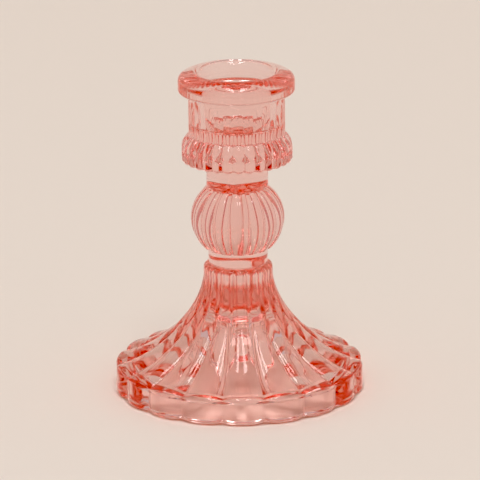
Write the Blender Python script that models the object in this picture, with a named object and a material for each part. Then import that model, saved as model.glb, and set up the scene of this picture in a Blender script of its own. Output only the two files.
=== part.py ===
"""Pressed-glass candlestick for one taper candle.

Five pieces of glass stand on one axis: a hollow fluted foot, a plain wafer, a ribbed knop, a second
wafer and the fluted candle socket. Metres, +Z up, origin on the table under the middle of the foot.
"""

import math

import bmesh
import bpy

# Heights of the joint faces above the table
FOOT_TOP = 0.0419
LOWER_WAFER_TOP = 0.0467
KNOP_TOP = 0.0671
UPPER_WAFER_TOP = 0.0747
TOTAL_HEIGHT = 0.1050
JOINT_GAP = 0.0003

# Foot
FOOT_RADIUS = 0.0400
FOOT_WALL_TOP = 0.0074
FOOT_EDGE_CHAMFER = 0.0006
SKIRT_END = (0.0388, 0.0088)
SHOULDER_RADIUS = 0.01115
SHOULDER_ROUND = 0.0020
SKIRT_START = 0.0378
HOLLOW_RADIUS = 0.0335
HOLLOW_SIDE = 0.0060
HOLLOW_NECK = (0.0085, 0.0205)
HOLLOW_TOP = 0.0238
FOOT_LOBES = 18

# Stem
LOWER_WAFER_RADIUS = 0.0095
UPPER_WAFER_RADIUS = 0.00985
KNOP_ARC_RADIUS = 0.0130
KNOP_ARC_OFFSET = 0.0020
KNOP_ARC_HEIGHT = 0.05665
MOULD_PARTS = 3
KNOP_RIBS_PER_PART = 5
SEAM_RIB_ANGLE = 30.0

# Candle socket
BORE_RADIUS = 0.0108
BORE_MOUTH_RADIUS = 0.0114
BORE_FLOOR = 0.0870
BORE_FILLET = 0.0010
FUNNEL_START = 0.1018
LIP_RADIUS = 0.0138
RIM_RADIUS = 0.0186
RIM_WALL_TOP = 0.1020
RIM_ROUND = 0.0012
RIM_LOW = 0.0982
CUP_RADIUS = 0.0154
COLLAR_RADIUS = 0.0177
COLLAR_STARTS = 0.0850
COLLAR_SHOULDER = (0.0161, 0.0840)
COLLAR_WIDEST = 0.0810
COLLAR_LOW = 0.0767
COLLAR_TURN = (0.0170, 0.0758)
COLLAR_UNDERSIDE = (0.0140, 0.0753)
SOCKET_RIBS = 30

# Groove depths
SHOULDER_GROOVE = 0.0008
SKIRT_GROOVE = 0.0013
FOOT_WALL_GROOVE = 0.0015
KNOP_GROOVE = 0.0009
CUP_GROOVE = 0.0003
COLLAR_GROOVE = 0.0009

WAFER_SIDES = 48
GLASS_IOR = 1.5
GLASS_ROUGHNESS = 0.03


def clear_scene():
    for item in list(bpy.data.objects):
        bpy.data.objects.remove(item, do_unlink=True)


def glass(name, colour):
    """A clear tinted glass."""
    material = bpy.data.materials.new(name)
    material.use_nodes = True
    shader = material.node_tree.nodes["Principled BSDF"]
    shader.inputs["Base Color"].default_value = (*colour, 1.0)
    shader.inputs["Metallic"].default_value = 0.0
    shader.inputs["Roughness"].default_value = GLASS_ROUGHNESS
    shader.inputs["IOR"].default_value = GLASS_IOR
    shader.inputs["Transmission Weight"].default_value = 1.0
    material.diffuse_color = (*colour, 1.0)
    return material


def arc(centre, radius, start, end, steps):
    """Points (radius, height) along a circular arc, with both ends, angles in degrees."""
    points = []
    for step in range(steps + 1):
        angle = math.radians(start + (end - start) * step / steps)
        points.append((centre[0] + radius * math.cos(angle), centre[1] + radius * math.sin(angle)))
    return points


def bezier(start, first, second, end, steps):
    """Points along a cubic curve, with both ends."""
    points = []
    for step in range(steps + 1):
        t = step / steps
        weights = ((1 - t) ** 3, 3 * t * (1 - t) ** 2, 3 * t * t * (1 - t), t**3)
        corners = (start, first, second, end)
        radius = sum(weight * corner[0] for weight, corner in zip(weights, corners))
        height = sum(weight * corner[1] for weight, corner in zip(weights, corners))
        points.append((radius, height))
    return points


def grooved(points, start_depth, end_depth):
    """Outline points with a groove depth that changes evenly from the first to the last."""
    last = max(len(points) - 1, 1)
    return [
        (radius, height, start_depth + (end_depth - start_depth) * place / last)
        for place, (radius, height) in enumerate(points)
    ]


def plain(points):
    return grooved(points, 0.0, 0.0)


def even_grooves(count):
    """Groove angles of equal ribs, with the middle of a rib at angle 0."""
    return [360.0 * (place - 0.5) / count for place in range(count)]


def moulded_grooves():
    """Groove angles of the knop: in each part of the mould the rib on the seam is a little wider."""
    part_angle = 360.0 / MOULD_PARTS
    rib_angle = (part_angle - SEAM_RIB_ANGLE) / (KNOP_RIBS_PER_PART - 1)
    return [
        part * part_angle + SEAM_RIB_ANGLE / 2 + rib * rib_angle
        for part in range(MOULD_PARTS)
        for rib in range(KNOP_RIBS_PER_PART)
    ]


def stations(grooves, samples):
    """(angle, dip) pairs round the axis: dip is 1 in a groove and 0 on the crown of a rib."""
    pairs = []
    for place, groove in enumerate(grooves):
        following = grooves[(place + 1) % len(grooves)]
        width = (following - groove) % 360.0
        for sample in range(samples):
            part = sample / samples
            pairs.append((math.radians(groove + width * part), 1.0 - math.sin(math.pi * part)))
    return pairs


def outline_normals(outline):
    """Unit normals of the outline, which runs down the outside, so the solid is on its right."""
    normals = []
    for place in range(len(outline)):
        before = outline[max(place - 1, 0)]
        after = outline[min(place + 1, len(outline) - 1)]
        run = after[0] - before[0]
        rise = after[1] - before[1]
        length = math.hypot(run, rise)
        normals.append((-rise / length, run / length))
    return normals


def turned_solid(name, outline, around, base, material):
    """A closed solid of revolution with ribs.

    The outline holds (radius, height, groove depth) and runs from the axis at the top, over the
    outside, to the axis at the bottom. Angle 0 is the front, -Y. The object's origin is on the
    axis at the height called base.
    """
    mesh = bmesh.new()
    normals = outline_normals(outline)
    rings = []
    for (radius, height, depth), (outward, upward) in zip(outline[1:-1], normals[1:-1]):
        ring = []
        for angle, dip in around:
            reach = radius - outward * depth * dip
            level = height - upward * depth * dip - base
            ring.append(mesh.verts.new((reach * math.sin(angle), -reach * math.cos(angle), level)))
        rings.append(ring)
    top = mesh.verts.new((0.0, 0.0, outline[0][1] - base))
    bottom = mesh.verts.new((0.0, 0.0, outline[-1][1] - base))
    count = len(around)
    for place in range(count):
        following = (place + 1) % count
        mesh.faces.new((top, rings[0][place], rings[0][following]))
        mesh.faces.new((bottom, rings[-1][following], rings[-1][place]))
        for upper, lower in zip(rings, rings[1:]):
            mesh.faces.new((upper[place], lower[place], lower[following], upper[following]))
    return add_object(name, mesh, base, material)


def wafer(name, radius, base, top, material):
    """A plain disc of glass that joins two pressed pieces."""
    mesh = bmesh.new()
    bmesh.ops.create_cone(
        mesh,
        cap_ends=True,
        segments=WAFER_SIDES,
        radius1=radius,
        radius2=radius,
        depth=top - base,
    )
    bmesh.ops.translate(mesh, vec=(0.0, 0.0, (top - base) / 2), verts=mesh.verts)
    return add_object(name, mesh, base, material)


def add_object(name, mesh, base, material):
    data = bpy.data.meshes.new(name)
    mesh.to_mesh(data)
    mesh.free()
    data.materials.append(material)
    data.shade_smooth()
    data.set_sharp_from_angle(angle=math.radians(40))
    item = bpy.data.objects.new(name, data)
    item.location = (0.0, 0.0, base)
    bpy.context.scene.collection.objects.link(item)
    return item


def make_foot(material):
    """The flared foot: 18 lobes outside, a smooth bell-shaped hollow inside."""
    shoulder_centre = (SHOULDER_RADIUS - SHOULDER_ROUND, FOOT_TOP - SHOULDER_ROUND)
    outline = plain([(0.0, FOOT_TOP)])
    outline += grooved(arc(shoulder_centre, SHOULDER_ROUND, 90, 0, 3), 0.0, SHOULDER_GROOVE)
    skirt = bezier((SHOULDER_RADIUS, SKIRT_START), (0.0124, 0.0248), (0.0260, 0.0123), SKIRT_END, 10)
    outline += grooved(skirt, SHOULDER_GROOVE, SKIRT_GROOVE)
    wall = [(FOOT_RADIUS, FOOT_WALL_TOP), (FOOT_RADIUS, FOOT_EDGE_CHAMFER)]
    outline += grooved(wall, FOOT_WALL_GROOVE, FOOT_WALL_GROOVE)
    outline += plain([(FOOT_RADIUS - FOOT_EDGE_CHAMFER - FOOT_WALL_GROOVE, 0.0), (HOLLOW_RADIUS, 0.0)])
    hollow = bezier((HOLLOW_RADIUS, HOLLOW_SIDE), (0.0260, 0.0075), (0.0105, 0.0140), HOLLOW_NECK, 7)
    outline += plain(hollow)
    dome = bezier(HOLLOW_NECK, (0.0080, 0.0225), (0.0050, HOLLOW_TOP), (0.0, HOLLOW_TOP), 4)
    outline += plain(dome[1:])
    around = stations(even_grooves(FOOT_LOBES), 4)
    return turned_solid("foot", outline, around, 0.0, material)


def make_knop(material):
    """The ball in the stem, with convex ribs that die out at both ends."""
    base = LOWER_WAFER_TOP + JOINT_GAP
    centre = (KNOP_ARC_OFFSET, KNOP_ARC_HEIGHT)
    upper_angle = math.degrees(math.asin((KNOP_TOP - KNOP_ARC_HEIGHT) / KNOP_ARC_RADIUS))
    lower_angle = math.degrees(math.asin((base - KNOP_ARC_HEIGHT) / KNOP_ARC_RADIUS))
    outline = plain([(0.0, KNOP_TOP)])
    outline += grooved(arc(centre, KNOP_ARC_RADIUS, upper_angle, 0, 6), 0.0, KNOP_GROOVE)
    outline += grooved(arc(centre, KNOP_ARC_RADIUS, 0, lower_angle, 6), KNOP_GROOVE, 0.0)[1:]
    outline += plain([(0.0, base)])
    return turned_solid("knop", outline, stations(moulded_grooves(), 4), base, material)


def make_socket(material):
    """The candle socket: a bore with a flared mouth, a round rim, a fluted cup and a ribbed collar."""
    base = UPPER_WAFER_TOP + JOINT_GAP
    fillet_centre = (BORE_RADIUS - BORE_FILLET, BORE_FLOOR + BORE_FILLET)
    outline = plain([(0.0, BORE_FLOOR)])
    outline += plain(arc(fillet_centre, BORE_FILLET, -90, 0, 3))
    mouth = (BORE_MOUTH_RADIUS, FUNNEL_START)
    lip = (LIP_RADIUS, TOTAL_HEIGHT)
    outline += plain(bezier(mouth, (0.0115, 0.1036), (0.0124, 0.1050), lip, 5))
    wall_top = (RIM_RADIUS, RIM_WALL_TOP)
    outline += plain(bezier(lip, (0.0156, 0.1050), (RIM_RADIUS, 0.1041), wall_top, 5)[1:])
    rim_corner = (RIM_RADIUS - RIM_ROUND, RIM_LOW + RIM_ROUND)
    outline += plain(arc(rim_corner, RIM_ROUND, 0, -90, 3))
    cup = [(CUP_RADIUS, RIM_LOW), (CUP_RADIUS, COLLAR_STARTS)]
    outline += grooved(cup, CUP_GROOVE, CUP_GROOVE)
    collar = [COLLAR_SHOULDER, (COLLAR_RADIUS, COLLAR_WIDEST), (COLLAR_RADIUS, COLLAR_LOW), COLLAR_TURN]
    outline += grooved(collar, COLLAR_GROOVE, COLLAR_GROOVE)
    outline += plain([COLLAR_UNDERSIDE, (UPPER_WAFER_RADIUS, base), (0.0, base)])
    return turned_solid("candle_socket", outline, stations(even_grooves(SOCKET_RIBS), 3), base, material)


def main():
    clear_scene()
    upright = bpy.data.objects.new("candlestick", None)
    bpy.context.scene.collection.objects.link(upright)
    pale = glass("pale pink glass", (0.90, 0.52, 0.44))
    deep = glass("deep pink glass", (0.84, 0.36, 0.28))
    pieces = [
        make_foot(deep),
        wafer("lower_wafer", LOWER_WAFER_RADIUS, FOOT_TOP + JOINT_GAP, LOWER_WAFER_TOP, pale),
        make_knop(pale),
        wafer("upper_wafer", UPPER_WAFER_RADIUS, KNOP_TOP + JOINT_GAP, UPPER_WAFER_TOP, pale),
        make_socket(pale),
    ]
    for piece in pieces:
        piece.parent = upright


main()
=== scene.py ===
import math

import bpy
from mathutils import Matrix, Vector


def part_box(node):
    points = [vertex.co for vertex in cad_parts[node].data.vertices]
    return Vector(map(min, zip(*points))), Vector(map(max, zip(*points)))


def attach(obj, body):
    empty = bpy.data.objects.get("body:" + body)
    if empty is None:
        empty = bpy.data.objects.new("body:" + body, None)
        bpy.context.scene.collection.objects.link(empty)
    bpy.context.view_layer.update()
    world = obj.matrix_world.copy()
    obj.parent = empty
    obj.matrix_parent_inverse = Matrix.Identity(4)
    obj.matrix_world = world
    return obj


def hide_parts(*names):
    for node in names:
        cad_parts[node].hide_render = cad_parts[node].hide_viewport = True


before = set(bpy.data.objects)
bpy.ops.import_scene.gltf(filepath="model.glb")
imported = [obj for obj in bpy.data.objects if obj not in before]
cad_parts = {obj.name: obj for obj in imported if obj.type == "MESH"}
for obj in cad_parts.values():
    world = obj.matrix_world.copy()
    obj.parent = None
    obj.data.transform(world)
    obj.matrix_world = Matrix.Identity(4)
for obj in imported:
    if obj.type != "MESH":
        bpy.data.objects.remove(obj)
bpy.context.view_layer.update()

# Joint heights and outer radii, from the solid model
FOOT_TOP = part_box("foot")[1][2]
LOWER_WAFER_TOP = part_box("lower_wafer")[1][2]
KNOP_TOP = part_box("knop")[1][2]
UPPER_WAFER_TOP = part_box("upper_wafer")[1][2]
SOCKET_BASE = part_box("candle_socket")[0][2]
LIP_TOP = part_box("candle_socket")[1][2]
FOOT_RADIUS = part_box("foot")[1][1]
LOWER_WAFER_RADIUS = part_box("lower_wafer")[1][0]
UPPER_WAFER_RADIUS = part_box("upper_wafer")[1][0]
RIM_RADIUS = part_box("candle_socket")[1][0]

# Ribs round the axis, and how flat their crowns are between the grooves
FOOT_LOBES = 18
KNOP_RIBS = 15
SOCKET_RIBS = 30
CROWN_FLATNESS = {FOOT_LOBES: 3.0, KNOP_RIBS: 2.6, SOCKET_RIBS: 2.0}
COLUMNS = 360
GROOVE_CROWDING = 0.7
SEAM_STRETCH = math.radians(2.55)
SKIN_WAVINESS = 0.00006
SKIN_WAVE_SIZE = 0.009
SKIN_SEED = 3.0

# Candle socket, radii and heights
BORE_RADIUS = 0.0108
BORE_FLOOR = 0.0870
BORE_FILLET = 0.0010
MOUTH = (0.0114, 0.1018)
LIP_RADIUS = 0.0138
RIM_WALL_TOP = 0.1020
RIM_LOW = 0.0982
RIM_ROUND = 0.0012
CUP_RADIUS = 0.0154
CUP_FILLET = 0.0005
CUP_LOW = 0.0853
COLLAR_COVE = 0.0012
COLLAR_TOP = (0.0160, 0.0841)
COLLAR_RADIUS = 0.0177
COLLAR_WIDEST = 0.0801
COLLAR_LOW = 0.0771
COLLAR_UNDERSIDE = (0.0140, 0.0753)

# Ball of the knop
BALL_CENTRE = (0.0020, 0.05665)
BALL_RADIUS = 0.0130

# Foot
SHOULDER_RADIUS = 0.01115
SHOULDER_ROUND = 0.0020
SKIRT_END = (0.0384, 0.0090)
WALL_TOP = 0.0072
WALL_ROUND = 0.0018
EDGE_ROUND = 0.0008
HOLLOW_RADIUS = 0.0335
HOLLOW_EDGE = 0.0004
HOLLOW_SIDE = 0.0055
HOLLOW_NECK = (0.0085, 0.0205)
HOLLOW_TOP = 0.0238

# Glass and light
GLASS_IOR = 1.5
PALE_SKIN = (0.996, 0.950, 0.944, 1.0)
DEEP_SKIN = (0.992, 0.932, 0.926, 1.0)
GLASS_BODY = (0.97, 0.37, 0.30, 1.0)
TINT_DENSITY = 15.0
RIPPLE_HEIGHT = 0.00004
WORLD_STRENGTH = 0.64
PANEL_RADIANCE = 7.6
BLACK_LEVEL = 0.12


# ---------------------------------------------------------------- outline of the glass


def arc(centre, radius, start, end, steps):
    """Points (radius, height) along a circular arc, angles in degrees."""
    points = []
    for step in range(steps + 1):
        angle = math.radians(start + (end - start) * step / steps)
        across, up = radius * math.cos(angle), radius * math.sin(angle)
        points.append((centre[0] + across, centre[1] + up))
    return points


def curve(start, first, second, end, steps):
    """Points along a cubic curve."""
    points = []
    for step in range(steps + 1):
        t = step / steps
        weights = ((1 - t) ** 3, 3 * t * (1 - t) ** 2, 3 * t * t * (1 - t), t**3)
        corners = (start, first, second, end)
        radius = sum(weight * corner[0] for weight, corner in zip(weights, corners))
        height = sum(weight * corner[1] for weight, corner in zip(weights, corners))
        points.append((radius, height))
    return points


def line(start, end, steps):
    """Points evenly along a straight line."""
    run, rise = end[0] - start[0], end[1] - start[1]
    places = range(steps + 1)
    return [(start[0] + run * place / steps, start[1] + rise * place / steps) for place in places]


class Outline:
    """The glass in section: points from the floor of the bore, over the rim and down the outside,
    to the top of the hollow under the foot. Each has a groove depth and a number of ribs."""

    def __init__(self):
        self.points = []
        self.depths = []
        self.ribs = []
        self.flatness = []

    def add(self, points, ribs, depth_start=0.0, depth_end=None):
        depth_end = depth_start if depth_end is None else depth_end
        last = max(len(points) - 1, 1)
        for place, point in enumerate(points):
            if self.points and math.dist(point, self.points[-1]) < 1e-6:
                continue
            self.points.append(point)
            self.depths.append(depth_start + (depth_end - depth_start) * place / last)
            self.ribs.append(ribs)
            self.flatness.append(CROWN_FLATNESS[ribs])


def socket_outline(outline):
    """Bore, mouth, rim, cup and collar, down to the neck."""
    fillet_centre = (BORE_RADIUS - BORE_FILLET, BORE_FLOOR + BORE_FILLET)
    outline.add(line((0.0, BORE_FLOOR), (fillet_centre[0], BORE_FLOOR), 6), SOCKET_RIBS)
    outline.add(arc(fillet_centre, BORE_FILLET, -90, 0, 6), SOCKET_RIBS)
    outline.add(line((BORE_RADIUS, fillet_centre[1]), MOUTH, 10), SOCKET_RIBS)
    lip, wall_top = (LIP_RADIUS, LIP_TOP), (RIM_RADIUS, RIM_WALL_TOP)
    outline.add(curve(MOUTH, (0.0115, 0.1036), (0.0124, 0.1050), lip, 12), SOCKET_RIBS)
    outline.add(curve(lip, (0.0156, 0.1050), (RIM_RADIUS, 0.1041), wall_top, 12), SOCKET_RIBS)
    corner = (RIM_RADIUS - RIM_ROUND, RIM_LOW + RIM_ROUND)
    outline.add(line(wall_top, (RIM_RADIUS, corner[1]), 4), SOCKET_RIBS)
    outline.add(arc(corner, RIM_ROUND, 0, -90, 6), SOCKET_RIBS)
    inner = (CUP_RADIUS + CUP_FILLET, RIM_LOW - CUP_FILLET - 0.0001)
    outline.add(line((corner[0], RIM_LOW), (inner[0], RIM_LOW - 0.0001), 3), SOCKET_RIBS)
    outline.add(arc(inner, CUP_FILLET, 90, 180, 4), SOCKET_RIBS)
    cup = line((CUP_RADIUS, inner[1]), (CUP_RADIUS, CUP_LOW), 12)
    outline.add(cup, SOCKET_RIBS, 0.0001, 0.0004)
    cove_centre = (CUP_RADIUS + COLLAR_COVE, CUP_LOW - 0.0001)
    outline.add(arc(cove_centre, COLLAR_COVE, 180, 230, 5), SOCKET_RIBS, 0.0004, 0.0006)
    widest = (COLLAR_RADIUS, COLLAR_WIDEST)
    crown = curve(COLLAR_TOP, (0.0166, 0.0832), (COLLAR_RADIUS, 0.0823), widest, 8)
    outline.add(crown, SOCKET_RIBS, 0.0006, 0.0010)
    wall = line((COLLAR_RADIUS, COLLAR_WIDEST - 0.0002), (COLLAR_RADIUS, COLLAR_LOW), 4)
    outline.add(wall, SOCKET_RIBS, 0.0010)
    low_centre = (COLLAR_RADIUS - COLLAR_COVE, COLLAR_LOW - 0.0002)
    outline.add(arc(low_centre, COLLAR_COVE, 0, -80, 5), SOCKET_RIBS, 0.0010)
    outline.add(line((0.0166, 0.0757), COLLAR_UNDERSIDE, 4), SOCKET_RIBS, 0.0009, 0.0002)
    neck = (UPPER_WAFER_RADIUS + 0.0004, SOCKET_BASE)
    outline.add(line(COLLAR_UNDERSIDE, neck, 5), SOCKET_RIBS, 0.0002, 0.0)


def stem_outline(outline):
    """Upper wafer, knop and lower wafer."""
    radius = UPPER_WAFER_RADIUS
    outline.add(line((radius, UPPER_WAFER_TOP), (radius, KNOP_TOP + 0.0002), 8), KNOP_RIBS)
    top = math.degrees(math.asin((KNOP_TOP - BALL_CENTRE[1]) / BALL_RADIUS))
    low = LOWER_WAFER_TOP + 0.0003
    foot = math.degrees(math.asin((low - BALL_CENTRE[1]) / BALL_RADIUS))
    outline.add(arc(BALL_CENTRE, BALL_RADIUS, top, 0, 20), KNOP_RIBS, 0.0008, 0.0013)
    outline.add(arc(BALL_CENTRE, BALL_RADIUS, 0, foot, 20), KNOP_RIBS, 0.0013, 0.0008)
    radius = LOWER_WAFER_RADIUS
    outline.add(line((radius, LOWER_WAFER_TOP), (radius, FOOT_TOP + 0.0002), 8), FOOT_LOBES)


def foot_outline(outline):
    """Shoulder, skirt, border and the bell-shaped hollow."""
    shoulder_centre = (SHOULDER_RADIUS - SHOULDER_ROUND, FOOT_TOP - SHOULDER_ROUND)
    outline.add(arc(shoulder_centre, SHOULDER_ROUND, 90, 0, 8), FOOT_LOBES, 0.0, 0.0006)
    skirt = curve((SHOULDER_RADIUS, 0.0378), (0.0124, 0.0248), (0.0260, 0.0123), SKIRT_END, 44)
    outline.add(skirt, FOOT_LOBES, 0.0006, 0.0013)
    wall_centre = (FOOT_RADIUS - WALL_ROUND, WALL_TOP)
    outline.add(arc(wall_centre, WALL_ROUND, 68, 0, 6), FOOT_LOBES, 0.0013, 0.0015)
    outline.add(line((FOOT_RADIUS, WALL_TOP), (FOOT_RADIUS, EDGE_ROUND), 5), FOOT_LOBES, 0.0015)
    edge_centre = (FOOT_RADIUS - EDGE_ROUND, EDGE_ROUND)
    outline.add(arc(edge_centre, EDGE_ROUND, 0, -90, 4), FOOT_LOBES, 0.0015, 0.0010)
    inner_edge = (HOLLOW_RADIUS + HOLLOW_EDGE, HOLLOW_EDGE)
    ring = line((FOOT_RADIUS - 0.0012, 0.0), (inner_edge[0], 0.0), 5)
    outline.add(ring, FOOT_LOBES, 0.0006, 0.0)
    outline.add(arc(inner_edge, HOLLOW_EDGE, -90, -180, 3), FOOT_LOBES)
    side = line((HOLLOW_RADIUS, HOLLOW_EDGE), (HOLLOW_RADIUS, HOLLOW_SIDE - 0.0005), 4)
    outline.add(side, FOOT_LOBES)
    bell = curve((HOLLOW_RADIUS, HOLLOW_SIDE), (0.0250, 0.0072), (0.0105, 0.0140), HOLLOW_NECK, 24)
    outline.add(bell, FOOT_LOBES)
    dome = curve(HOLLOW_NECK, (0.0080, 0.0225), (0.0050, HOLLOW_TOP), (0.0, HOLLOW_TOP), 12)
    outline.add(dome, FOOT_LOBES)


def outline_object():
    """The outline as an edge mesh with its attributes, for the modifier to turn."""
    outline = Outline()
    socket_outline(outline)
    stem_outline(outline)
    foot_outline(outline)
    points = outline.points
    mesh = bpy.data.meshes.new("glass outline")
    edges = [(place, place + 1) for place in range(len(points) - 1)]
    mesh.from_pydata([(radius, 0.0, height) for radius, height in points], edges, [])
    lean = []
    for place in range(len(points)):
        before = points[max(place - 1, 0)]
        after = points[min(place + 1, len(points) - 1)]
        run, rise = after[0] - before[0], after[1] - before[1]
        length = math.hypot(run, rise)
        lean += [-rise / length, 0.0, run / length]
    numbers = {"groove": outline.depths, "ribs": outline.ribs, "flatness": outline.flatness}
    for name, values in numbers.items():
        mesh.attributes.new(name, "FLOAT", "POINT").data.foreach_set("value", values)
    mesh.attributes.new("lean", "FLOAT_VECTOR", "POINT").data.foreach_set("vector", lean)
    item = bpy.data.objects.new("candlestick_glass", mesh)
    bpy.context.scene.collection.objects.link(item)
    return item


# ---------------------------------------------------------------- geometry nodes


class Tree:
    """A Geometry Nodes tree with short calls for its nodes."""

    def __init__(self, name):
        self.group = bpy.data.node_groups.new(name, "GeometryNodeTree")
        self.source = self.group.nodes.new("NodeGroupInput")
        self.result = self.group.nodes.new("NodeGroupOutput")

    def socket(self, name, kind, default=None, side="INPUT"):
        item = self.group.interface.new_socket(name, in_out=side, socket_type=kind)
        if default is not None:
            item.default_value = default
        return self.source.outputs[name] if side == "INPUT" else self.result.inputs[name]

    def put(self, node, socket, value):
        if isinstance(value, bpy.types.NodeSocket):
            self.group.links.new(value, node.inputs[socket])
        else:
            node.inputs[socket].default_value = value

    def node(self, kind, inputs=None, **settings):
        node = self.group.nodes.new(kind)
        for name, value in settings.items():
            setattr(node, name, value)
        for socket, value in (inputs or {}).items():
            self.put(node, socket, value)
        return node

    def maths(self, operation, first, second=0.0):
        node = self.node("ShaderNodeMath", {0: first, 1: second}, operation=operation)
        return node.outputs[0]

    def sampled(self, geometry, kind, value, index):
        node = self.node("GeometryNodeSampleIndex", data_type=kind, domain="POINT")
        self.put(node, "Geometry", geometry)
        self.put(node, "Value", value)
        self.put(node, "Index", index)
        return node.outputs["Value"]

    def named(self, name, kind):
        node = self.node("GeometryNodeInputNamedAttribute", {"Name": name}, data_type=kind)
        return node.outputs["Attribute"]


def ribbed_turning():
    """Turns an outline round Z and presses convex ribs with sharp grooves into it.

    Angle 0 is the front, -Y, and lies on the crown of a rib. Columns crowd towards the grooves.
    """
    tree = Tree("ribbed turning")
    outline = tree.socket("Outline", "NodeSocketGeometry")
    columns = tree.socket("Columns", "NodeSocketInt", 360)
    crowding = tree.socket("Crowding", "NodeSocketFloat", 0.7)
    stretch = tree.socket("Seam Stretch", "NodeSocketFloat", 0.0)
    stretched = tree.socket("Stretched Ribs", "NodeSocketFloat", 15.0)
    waviness = tree.socket("Waviness", "NodeSocketFloat", 0.0)
    wave_size = tree.socket("Wave Size", "NodeSocketFloat", 0.01)
    seed = tree.socket("Seed", "NodeSocketFloat", 1.0)
    material = tree.socket("Glass", "NodeSocketMaterial")
    result = tree.socket("Geometry", "NodeSocketGeometry", side="OUTPUT")

    size = tree.node("GeometryNodeAttributeDomainSize", {"Geometry": outline})
    rows = size.outputs["Point Count"]
    across = tree.maths("ADD", columns, 1.0)
    grid = tree.node("GeometryNodeMeshGrid", {"Vertices X": across, "Vertices Y": rows})
    index = tree.node("GeometryNodeInputIndex").outputs[0]
    column = tree.maths("FLOOR", tree.maths("DIVIDE", tree.maths("ADD", index, 0.5), rows))
    row = tree.maths("SUBTRACT", index, tree.maths("MULTIPLY", column, rows))

    position = tree.node("GeometryNodeInputPosition").outputs[0]
    place = tree.sampled(outline, "FLOAT_VECTOR", position, row)
    depth = tree.sampled(outline, "FLOAT", tree.named("groove", "FLOAT"), row)
    ribs = tree.sampled(outline, "FLOAT", tree.named("ribs", "FLOAT"), row)
    flatness = tree.sampled(outline, "FLOAT", tree.named("flatness", "FLOAT"), row)
    lean = tree.sampled(outline, "FLOAT_VECTOR", tree.named("lean", "FLOAT_VECTOR"), row)

    turn = tree.maths("DIVIDE", tree.maths("MULTIPLY", column, ribs), columns)
    rib = tree.maths("FLOOR", tree.maths("ADD", turn, 1e-4))
    part = tree.maths("SUBTRACT", turn, rib)
    wave = tree.maths("SINE", tree.maths("MULTIPLY", part, math.tau))
    pull = tree.maths("MULTIPLY", wave, tree.maths("DIVIDE", crowding, math.tau))
    part = tree.maths("SUBTRACT", part, pull)
    angle = tree.maths("DIVIDE", tree.maths("ADD", rib, tree.maths("SUBTRACT", part, 0.5)), ribs)
    angle = tree.maths("MULTIPLY", angle, math.tau)
    same = tree.node("ShaderNodeMath", {0: ribs, 1: stretched, 2: 0.5}, operation="COMPARE")
    moulded = same.outputs[0]
    first = tree.maths("SINE", tree.maths("MULTIPLY", angle, 3.0))
    second = tree.maths("SINE", tree.maths("MULTIPLY", angle, 6.0))
    second = tree.maths("MULTIPLY", second, 0.618)
    shift = tree.maths("MULTIPLY", tree.maths("ADD", first, second), stretch)
    angle = tree.maths("ADD", angle, tree.maths("MULTIPLY", shift, moulded))

    off_crown = tree.maths("SUBTRACT", tree.maths("MULTIPLY", part, 2.0), 1.0)
    off_crown = tree.maths("ABSOLUTE", off_crown)
    dip = tree.maths("MULTIPLY", tree.maths("POWER", off_crown, flatness), depth)
    radial = tree.node("ShaderNodeSeparateXYZ", {0: place}).outputs
    slope = tree.node("ShaderNodeSeparateXYZ", {0: lean}).outputs
    radius = tree.maths("SUBTRACT", radial[0], tree.maths("MULTIPLY", slope[0], dip))
    height = tree.maths("SUBTRACT", radial[2], tree.maths("MULTIPLY", slope[2], dip))
    sine, cosine = tree.maths("SINE", angle), tree.maths("COSINE", angle)
    across = tree.maths("MULTIPLY", radius, sine)
    along = tree.maths("MULTIPLY", tree.maths("MULTIPLY", radius, cosine), -1.0)
    point = tree.node("ShaderNodeCombineXYZ", {0: across, 1: along, 2: height})
    point = point.outputs[0]

    scale = tree.maths("DIVIDE", 1.0, wave_size)
    noise = tree.node(
        "ShaderNodeTexNoise",
        {"Vector": point, "W": seed, "Scale": scale, "Detail": 1.0},
        noise_dimensions="4D",
    )
    swell = tree.maths("MULTIPLY", tree.maths("SUBTRACT", noise.outputs[0], 0.5), waviness)
    near_axis = tree.maths("MINIMUM", tree.maths("MULTIPLY", radius, 40.0), 1.0)
    swell = tree.maths("MULTIPLY", swell, near_axis)
    behind = tree.maths("MULTIPLY", cosine, -1.0)
    away = tree.node("ShaderNodeCombineXYZ", {0: sine, 1: behind, 2: 0.0}).outputs[0]
    push = tree.node("ShaderNodeVectorMath", {0: away, "Scale": swell}, operation="SCALE")
    moved = tree.node("ShaderNodeVectorMath", {0: point, 1: push.outputs[0]}, operation="ADD")

    shaped = tree.node("GeometryNodeSetPosition", {"Geometry": grid.outputs[0]})
    tree.put(shaped, "Position", moved.outputs[0])
    closed = tree.node("GeometryNodeMergeByDistance", {"Geometry": shaped.outputs[0]})
    tree.put(closed, "Distance", 1e-7)
    smooth = tree.node("GeometryNodeSetShadeSmooth", {"Geometry": closed.outputs[0]})
    whole = tree.node("GeometryNodeRealizeInstances", {"Geometry": smooth.outputs[0]})
    finished = tree.node("GeometryNodeSetMaterial", {"Geometry": whole.outputs[0]})
    tree.put(finished, "Material", material)
    tree.group.links.new(finished.outputs[0], result)
    return tree.group


def turned_glass(item, tree, values):
    """Runs the tree on the outline and keeps its result as a plain mesh."""
    modifier = item.modifiers.new("turning", "NODES")
    modifier.node_group = tree
    named = {socket.name: socket.identifier for socket in tree.interface.items_tree}
    for name, value in values.items():
        modifier[named[name]] = value
    graph = bpy.context.evaluated_depsgraph_get()
    mesh = bpy.data.meshes.new_from_object(item.evaluated_get(graph))
    item.modifiers.remove(modifier)
    item.data = mesh
    face_outwards(mesh)
    return item


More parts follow.
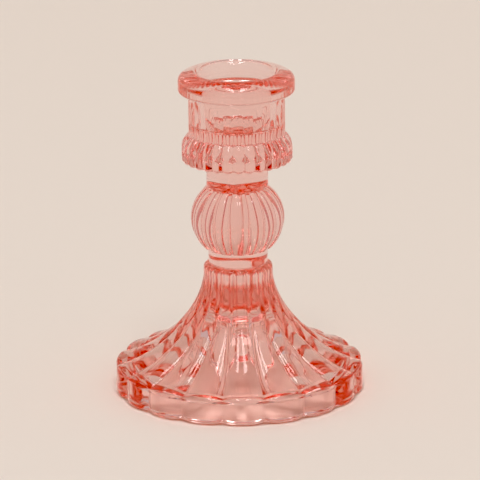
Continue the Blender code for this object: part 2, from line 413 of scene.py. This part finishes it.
def face_outwards(mesh):
    """Turns the mesh right side out if its volume comes out negative."""
    mesh.calc_loop_triangles()
    volume = 0.0
    for triangle in mesh.loop_triangles:
        a, b, c = (mesh.vertices[corner].co for corner in triangle.vertices)
        volume += a.dot(b.cross(c))
    if volume < 0:
        mesh.flip_normals()


# ---------------------------------------------------------------- materials


def pink_glass():
    """Smooth glass, tinted coral at its skin and through its thickness, with faint ripples."""
    material = bpy.data.materials.new("coral pressed glass")
    material.use_nodes = True
    nodes, links = material.node_tree.nodes, material.node_tree.links
    nodes.remove(nodes["Principled BSDF"])
    skin = nodes.new("ShaderNodeBsdfGlass")
    skin.inputs["IOR"].default_value = GLASS_IOR
    skin.inputs["Roughness"].default_value = 0.0
    links.new(skin.outputs[0], nodes["Material Output"].inputs["Surface"])
    place = nodes.new("ShaderNodeTexCoord").outputs["Object"]

    streaks = noise_on(nodes, links, place, (90.0, 90.0, 25.0), 2.0)
    tint = nodes.new("ShaderNodeValToRGB")
    tint.color_ramp.elements[0].position = 0.3
    tint.color_ramp.elements[0].color = DEEP_SKIN
    tint.color_ramp.elements[1].position = 0.7
    tint.color_ramp.elements[1].color = PALE_SKIN
    links.new(streaks, tint.inputs[0])
    links.new(tint.outputs[0], skin.inputs["Color"])

    ripples = noise_on(nodes, links, place, (260.0, 260.0, 110.0), 1.0)
    press = nodes.new("ShaderNodeBump")
    press.inputs["Strength"].default_value = 0.5
    press.inputs["Distance"].default_value = RIPPLE_HEIGHT
    links.new(ripples, press.inputs["Height"])
    links.new(press.outputs[0], skin.inputs["Normal"])

    inside = nodes.new("ShaderNodeVolumeAbsorption")
    inside.inputs["Color"].default_value = GLASS_BODY
    inside.inputs["Density"].default_value = TINT_DENSITY
    links.new(inside.outputs[0], nodes["Material Output"].inputs["Volume"])
    return material


def noise_on(nodes, links, place, scale, detail):
    """Smooth noise on the piece's own coordinates, with a scale per metre along each axis."""
    mapping = nodes.new("ShaderNodeMapping")
    mapping.inputs["Scale"].default_value = scale
    links.new(place, mapping.inputs["Vector"])
    noise = nodes.new("ShaderNodeTexNoise")
    noise.inputs["Scale"].default_value = 1.0
    noise.inputs["Detail"].default_value = detail
    links.new(mapping.outputs[0], noise.inputs["Vector"])
    return noise.outputs["Fac"]


def matt(name, colour):
    """Plain matt paper."""
    material = bpy.data.materials.new(name)
    material.use_nodes = True
    shader = material.node_tree.nodes["Principled BSDF"]
    shader.inputs["Base Color"].default_value = (*colour, 1.0)
    shader.inputs["Roughness"].default_value = 0.9
    shader.inputs["Specular IOR Level"].default_value = 0.2
    return material


# ---------------------------------------------------------------- studio


def studio():
    """A pale sweep of paper, an even surrounding light and two ceiling panels."""
    scene = bpy.context.scene
    flat_front, flat_back, bend, top, half_width = -1.5, 0.9, 0.5, 2.5, 2.0
    sweep = [(flat_front, 0.0), (flat_back, 0.0)]
    for step in range(1, 17):
        angle = math.pi / 32 * step
        sweep.append((flat_back + bend * math.sin(angle), bend - bend * math.cos(angle)))
    sweep.append((flat_back + bend, top))
    clearance = 0.0003
    sides = (-half_width, half_width)
    points = [(side, y, z - clearance) for y, z in sweep for side in sides]
    faces = [(2 * k, 2 * k + 1, 2 * k + 3, 2 * k + 2) for k in range(len(sweep) - 1)]
    mesh = bpy.data.meshes.new("paper sweep")
    mesh.from_pydata(points, [], faces)
    mesh.materials.append(matt("paper", (0.76, 0.683, 0.6215)))
    mesh.shade_smooth()
    floor = bpy.data.objects.new("paper_sweep", mesh)
    scene.collection.objects.link(floor)

    world = bpy.data.worlds.new("even light")
    world.use_nodes = True
    background = world.node_tree.nodes["Background"]
    background.inputs["Color"].default_value = (1.0, 1.0, 1.0, 1.0)
    background.inputs["Strength"].default_value = WORLD_STRENGTH
    scene.world = world
    ceiling_panel("left ceiling panel", -1)
    ceiling_panel("right ceiling panel", 1)


def ceiling_panel(name, side):
    """One of two long soft panels high above and in front, either side of the middle."""
    height, width, front, back, off_middle = 6.0, 0.84, -4.2, 0.6, 0.90
    light = bpy.data.lights.new(name, "AREA")
    light.shape = "RECTANGLE"
    light.size = width
    light.size_y = back - front
    light.energy = PANEL_RADIANCE * math.pi * width * (back - front)
    item = bpy.data.objects.new(name, light)
    item.location = (side * off_middle, (front + back) / 2, height)
    bpy.context.scene.collection.objects.link(item)


def camera():
    """The view from a little above, slightly to the left of the front lobe."""
    distance, elevation, azimuth, lean = 1.291, 17.23, -1.8, 0.6
    aim = Vector((0.00066, 0.0, 0.0489))
    data = bpy.data.cameras.new("camera")
    data.lens = 302.0
    data.sensor_width = 36.0
    data.clip_start = 0.05
    data.clip_end = 20.0
    item = bpy.data.objects.new("camera", data)
    up, round_axis = math.radians(elevation), math.radians(azimuth)
    away = Vector((
        math.cos(up) * math.sin(round_axis),
        -math.cos(up) * math.cos(round_axis),
        math.sin(up),
    ))
    item.location = aim + away * distance
    facing = (-away).to_track_quat("-Z", "Y").to_matrix().to_4x4()
    facing = facing @ Matrix.Rotation(math.radians(-lean), 4, "Z")
    item.rotation_euler = facing.to_euler()
    bpy.context.scene.collection.objects.link(item)
    bpy.context.scene.camera = item


def look():
    """Plain colours with a little more contrast, and enough bounces for thick clear glass."""
    scene = bpy.context.scene
    view = scene.view_settings
    view.view_transform = "Standard"
    view.use_curve_mapping = True
    view.curve_mapping.black_level = (BLACK_LEVEL,) * 3
    view.curve_mapping.update()
    scene.cycles.max_bounces = 32
    scene.cycles.transmission_bounces = 32
    scene.cycles.glossy_bounces = 16
    scene.cycles.diffuse_bounces = 8
    scene.cycles.sample_clamp_indirect = 0.0
    scene.cycles.blur_glossy = 0.0
    scene.cycles.use_denoising = True


camera()
glass = turned_glass(
    outline_object(),
    ribbed_turning(),
    {
        "Columns": COLUMNS,
        "Crowding": GROOVE_CROWDING,
        "Seam Stretch": SEAM_STRETCH,
        "Stretched Ribs": float(KNOP_RIBS),
        "Waviness": SKIN_WAVINESS,
        "Wave Size": SKIN_WAVE_SIZE,
        "Seed": SKIN_SEED,
        "Glass": pink_glass(),
    },
)
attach(glass, "root")
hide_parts("foot", "lower_wafer", "knop", "upper_wafer", "candle_socket")
studio()
look()
